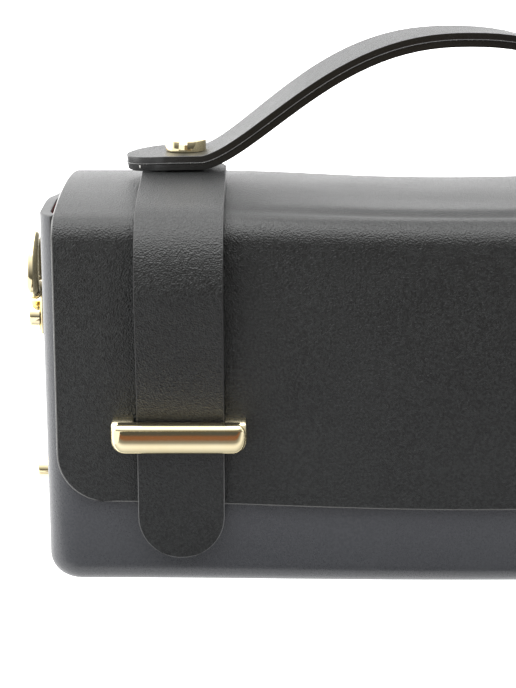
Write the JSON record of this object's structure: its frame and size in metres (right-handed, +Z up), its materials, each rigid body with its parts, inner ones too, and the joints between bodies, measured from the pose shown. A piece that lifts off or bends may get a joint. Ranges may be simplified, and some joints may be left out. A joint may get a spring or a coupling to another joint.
{
  "type": "leather box bag",
  "caption": "Structured black leather box bag with a front flap, straps through gold keepers, an arched top handle and gold rings on the ends.",
  "frame": {"origin": "centre of the bounding box, on the plane that the base stands on", "axes": "+X along the bag's long side, +Z up; the flap's front, with the straps and keepers, faces -Y"},
  "size_m": [0.2574, 0.0992, 0.1545],
  "materials": {
    "black_leather": "smooth fine-grained calf leather with a satin sheen",
    "red_lining": "thin matt lining skin",
    "gold": "polished pale gold plate"
  },
  "bodies": {
    "root": {"body_tub": "black_leather", "lining": "red_lining", "flap": "black_leather", "handle_upper": "black_leather", "handle_lower": "black_leather", "strap_left": "black_leather", "strap_right": "black_leather", "keeper_left": "gold", "keeper_right": "gold", "handle_screw_left": "gold", "handle_screw_right": "gold", "side_tab_left": "black_leather", "side_tab_right": "black_leather", "side_ring_left": "gold", "side_ring_right": "gold", "tab_screw_upper_left": "gold", "tab_screw_upper_right": "gold", "tab_screw_lower_left": "gold", "tab_screw_lower_right": "gold"}
  },
  "joints": []
}
